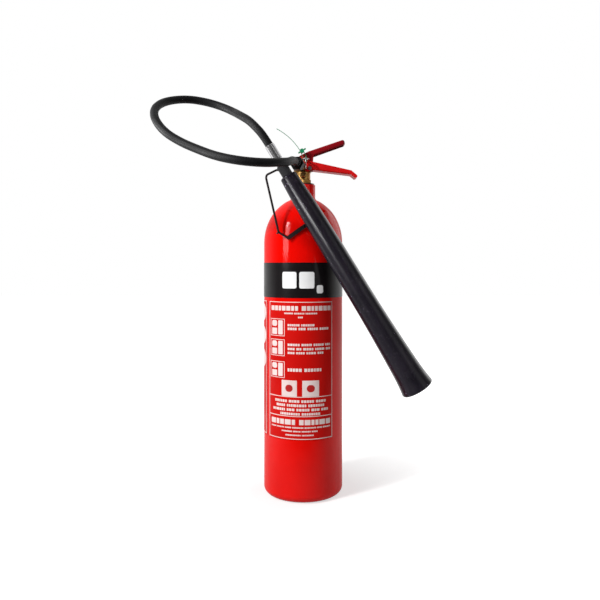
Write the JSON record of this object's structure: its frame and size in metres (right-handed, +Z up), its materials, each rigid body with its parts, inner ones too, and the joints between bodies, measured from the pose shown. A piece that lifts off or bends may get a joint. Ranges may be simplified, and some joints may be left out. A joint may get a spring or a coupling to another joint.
{
  "type": "fire extinguisher",
  "caption": "Tall red gas fire extinguisher: domed steel cylinder, brass squeeze-grip valve with safety pin, swivelling looped hose and a long discharge horn held by a wire bracket.",
  "frame": {"origin": "centre of the base, on the cylinder's axis at floor level", "axes": "+Z up along the cylinder, +X the way the levers point, -Y the front with the label and the outlet"},
  "size_m": [0.5102, 0.2634, 0.7634],
  "materials": {
    "red_paint": "gloss enamel over a drawn steel shell",
    "red_handle": "gloss powder coat on folded sheet",
    "red_lever": "deeper red powder coat on folded sheet",
    "black_print": "satin black film",
    "label_film": "printed film, red with pale panels",
    "brass": "forged and machined",
    "copper_washer": "soft copper",
    "aluminium_tube": "drawn tube",
    "steel_wire": "spring wire and thin sheet",
    "steel_plated": "bright zinc plate",
    "dark_steel": "black oxide nut",
    "chrome": "crimped ferrule",
    "black_wire": "black coated wire and strip",
    "black_rubber": "smooth covered hose and seals",
    "grip_rubber": "moulded grip",
    "black_plastic": "moulded horn",
    "green_plastic": "moulded tamper seal"
  },
  "bodies": {
    "cylinder": {"cylinder_shell": "red_paint", "black_band": "black_print", "front_label": "label_film", "side_label": "label_film", "neck_seal": "black_rubber", "valve_body": "brass", "dip_tube": "aluminium_tube", "gland_nut": "brass", "stem_o_ring": "black_rubber", "burst_disc": "steel_wire", "burst_washer": "copper_washer", "burst_plug": "brass", "carrying_handle": "red_handle", "handle_screws": "steel_plated", "lever_pivot_pin": "steel_plated", "holder_wire": "black_wire", "horn_rest": "black_wire", "swivel_nut": "dark_steel", "valve_spring": "steel_wire"},
    "lever": {"operating_lever": "red_lever"},
    "stem": {"valve_stem": "brass", "seat_washer": "black_rubber"},
    "pin": {"safety_pin": "steel_plated", "tamper_seal": "green_plastic"},
    "ring": {"pull_ring": "steel_plated"},
    "hose_set": {"hose_tail": "steel_plated", "hose_sleeve": "black_rubber", "hose": "black_rubber", "horn_ferrule": "chrome", "horn_grip": "grip_rubber", "discharge_nozzle": "brass", "horn": "black_plastic"}
  },
  "joints": [
    {"name": "lever_squeeze", "type": "hinge", "parent": "cylinder", "child": "lever", "pos_m": [-0.013, 0, 0.639], "axis": [0, 1, 0], "range_deg": [0, 11.5], "stiffness_Nm_per_rad": 5, "springref_deg": -5.73},
    {"name": "stem_travel", "type": "slide", "parent": "cylinder", "child": "stem", "axis": [0, 0, -1], "range_m": [0, 0.0033], "deforming": ["valve_spring"]},
    {"name": "pin_pull", "type": "slide", "parent": "cylinder", "child": "pin", "axis": [0, -1, 0], "range_m": [0, 0.045]},
    {"name": "ring_swing", "type": "hinge", "parent": "pin", "child": "ring", "pos_m": [0.005, -0.0305, 0.6402], "axis": [1, 0, 0], "range_deg": [-80, 4]},
    {"name": "hose_swivel", "type": "hinge", "parent": "cylinder", "child": "hose_set", "pos_m": [0, 0, 0.627], "axis": [-0.2079, -0.9781, 0], "range_deg": [0, 75]}
  ],
  "couplings": [
    {"joint": "stem_travel", "follows": "lever_squeeze", "m_per_rad": 0.016}
  ]
}
